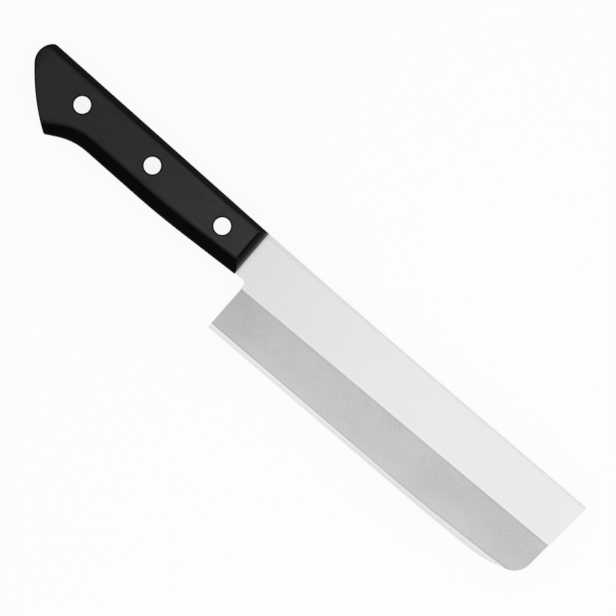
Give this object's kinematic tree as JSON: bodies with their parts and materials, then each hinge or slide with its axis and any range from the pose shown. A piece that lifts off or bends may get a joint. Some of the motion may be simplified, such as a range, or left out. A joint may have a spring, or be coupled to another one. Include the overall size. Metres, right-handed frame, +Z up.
{
  "type": "nakiri knife",
  "caption": "Kitchen knife with a straight, square-nosed blade ground in steps, a full tang and a riveted black handle with a hooked butt.",
  "frame": {"origin": "centre of the knife's footprint, on the surface that its left scale lies on", "axes": "+X along the knife from butt to tip, +Y from cutting edge to spine, +Z up out of the right face of the blade"},
  "size_m": [0.2904, 0.0474, 0.0176],
  "materials": {
    "blade_steel": "satin flats, matte ground bevel, polished edge bevel",
    "handle_black": "black resin-laminated wood, satin",
    "rivet_steel": "polished flush with the scale"
  },
  "bodies": {
    "root": {"blade": "blade_steel", "scale_right": "handle_black", "scale_left": "handle_black", "front_rivet_socket": "rivet_steel", "front_rivet_post": "rivet_steel", "middle_rivet_socket": "rivet_steel", "middle_rivet_post": "rivet_steel", "rear_rivet_socket": "rivet_steel", "rear_rivet_post": "rivet_steel"}
  },
  "joints": []
}
